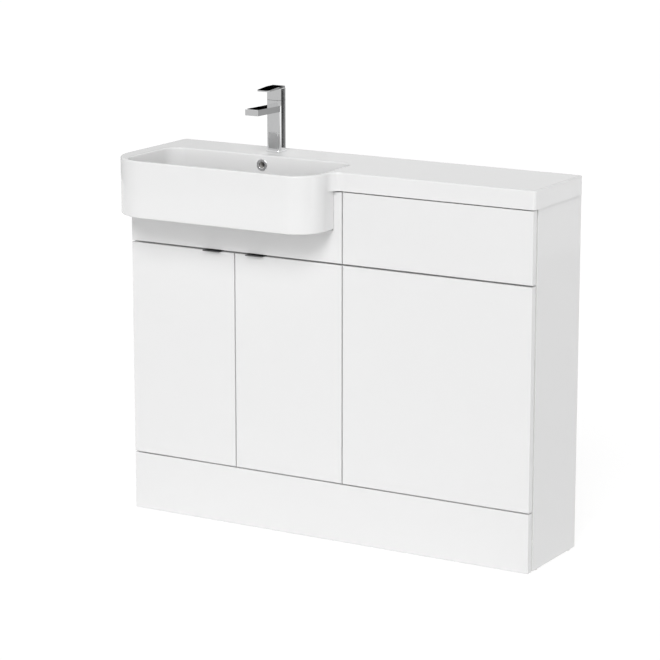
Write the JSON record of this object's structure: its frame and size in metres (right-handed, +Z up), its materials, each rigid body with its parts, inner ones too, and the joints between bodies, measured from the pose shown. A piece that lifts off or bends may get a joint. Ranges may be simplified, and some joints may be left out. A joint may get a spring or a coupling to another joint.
{
  "type": "combination vanity unit",
  "caption": "Fitted bathroom unit: a cast bowed basin top with mixer tap over a hinged-door basin cupboard and a WC cabinet with removable front panels, on a full-width plinth.",
  "frame": {"origin": "on the floor, at the middle of the two cabinets' width and of the whole depth", "axes": "+X to the right as seen from the front, +Y to the wall, +Z up"},
  "size_m": [1.1045, 0.36, 1.0643],
  "materials": {
    "cast_white": "polished gel coat",
    "chrome": "polished",
    "dark_chrome": "polished",
    "inner_metal": "machined",
    "plated_steel": "nickel plated",
    "rubber": "matt",
    "clear_bumper": "soft clear",
    "white_plastic": "moulded",
    "gloss_white_board": "high gloss lacquer on board",
    "white_board": "satin melamine on board"
  },
  "bodies": {
    "carcass": {"basin_top": "cast_white", "overflow_ring": "chrome", "waste_body": "chrome", "tap_base_plate": "chrome", "tap_body": "chrome", "waste_backnut": "inner_metal", "tap_stud": "inner_metal", "tap_fixing_nut": "inner_metal", "left_hinge_arms": "plated_steel", "left_hinge_plates": "plated_steel", "right_hinge_arms": "plated_steel", "right_hinge_plates": "plated_steel", "carcass_bolts": "plated_steel", "shelf_pegs": "plated_steel", "tap_clamp_plate": "plated_steel", "tap_cartridge_nut": "plated_steel", "waste_washer": "rubber", "tap_rubber_washer": "rubber", "waste_guide": "white_plastic", "tap_aerator": "white_plastic", "tap_cartridge": "white_plastic", "fascia_spacers": "white_plastic", "panel_clip_sockets": "white_plastic", "plinth_clip_sockets": "white_plastic", "glides": "white_plastic", "vanity_fascia": "gloss_white_board", "wc_fascia": "gloss_white_board", "vanity_side_left": "gloss_white_board", "wc_side_right": "gloss_white_board", "vanity_side_right": "white_board", "wc_side_left": "white_board", "vanity_floor": "white_board", "vanity_front_rail": "white_board", "vanity_foot_rail": "white_board", "vanity_back_rail": "white_board", "shelf": "white_board", "wc_top_rail": "white_board", "wc_mid_rail": "white_board", "wc_low_rail": "white_board", "wc_back_rail": "white_board"},
    "left_door_leaf": {"left_door": "gloss_white_board", "left_pull": "dark_chrome", "left_hinge_cups": "plated_steel", "left_hinge_pins": "plated_steel", "left_door_bumpers": "clear_bumper"},
    "right_door_leaf": {"right_door": "gloss_white_board", "right_pull": "dark_chrome", "right_hinge_cups": "plated_steel", "right_hinge_pins": "plated_steel", "right_door_bumpers": "clear_bumper"},
    "mixer_spindle": {"tap_spindle": "plated_steel"},
    "mixer_lever": {"tap_lever": "chrome"},
    "pop_up_plug": {"waste_plug": "chrome", "plug_seal": "rubber"},
    "access_panel": {"wc_access_panel": "gloss_white_board", "panel_clip_studs": "white_plastic"},
    "plinth_board": {"plinth": "gloss_white_board", "plinth_clip_studs": "white_plastic"}
  },
  "joints": [
    {"name": "left_door_hinge", "type": "hinge", "parent": "carcass", "child": "left_door_leaf", "pos_m": [-0.5393, -0.0605, 0.414], "axis": [0, 0, -1], "range_deg": [0, 90]},
    {"name": "right_door_hinge", "type": "hinge", "parent": "carcass", "child": "right_door_leaf", "pos_m": [0.0393, -0.0605, 0.414], "axis": [0, 0, 1], "range_deg": [0, 90]},
    {"name": "mixer_swivel", "type": "hinge", "parent": "carcass", "child": "mixer_spindle", "pos_m": [-0.245, 0.12, 1.031], "axis": [0, 0, 1], "range_deg": [-45, 45]},
    {"name": "lever_lift", "type": "hinge", "parent": "mixer_spindle", "child": "mixer_lever", "pos_m": [-0.245, 0.132, 1.0418], "axis": [-1, 0, 0], "range_deg": [0, 20]},
    {"name": "plug_slide", "type": "slide", "parent": "carcass", "child": "pop_up_plug", "axis": [0, 0, 1], "range_m": [0, 0.009]},
    {"name": "access_panel_pull", "type": "slide", "parent": "carcass", "child": "access_panel", "axis": [0, -1, 0], "range_m": [0, 0.15]},
    {"name": "plinth_pull", "type": "slide", "parent": "carcass", "child": "plinth_board", "axis": [0, -1, 0], "range_m": [0, 0.1]}
  ]
}
